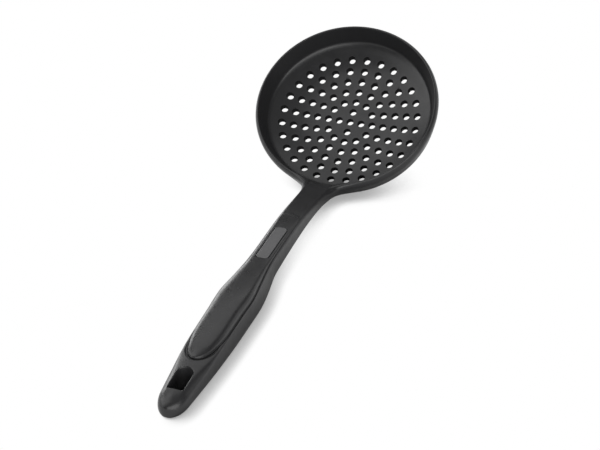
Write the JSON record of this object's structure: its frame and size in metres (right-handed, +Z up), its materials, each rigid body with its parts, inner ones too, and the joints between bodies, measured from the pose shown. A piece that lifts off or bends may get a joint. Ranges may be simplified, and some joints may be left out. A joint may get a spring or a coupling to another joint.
{
  "type": "skimmer",
  "caption": "Kitchen skimmer: a round perforated bowl leaning up from an angled neck, with a hollow handle, a soft crowned grip pad, a bare inlaid plate and a hang hole.",
  "frame": {"origin": "on the table under the middle of the skimmer's length, as it lies on the table", "axes": "+Z up from the table, +Y along the handle towards the bowl, +X to the right seen from the handle's end"},
  "size_m": [0.113, 0.3404, 0.0734],
  "materials": {
    "black_nylon": "fine satin moulding grain, black glass-filled nylon",
    "black_polypropylene": "plain moulded, hidden under the pad",
    "soft_black_elastomer": "matte soft-touch elastomer",
    "grey_satin_plastic": "satin grey, bare"
  },
  "bodies": {
    "root": {"skimmer_body": "black_nylon", "grip_carrier": "black_polypropylene", "grip_pad": "soft_black_elastomer", "badge_plate": "grey_satin_plastic"}
  },
  "joints": []
}
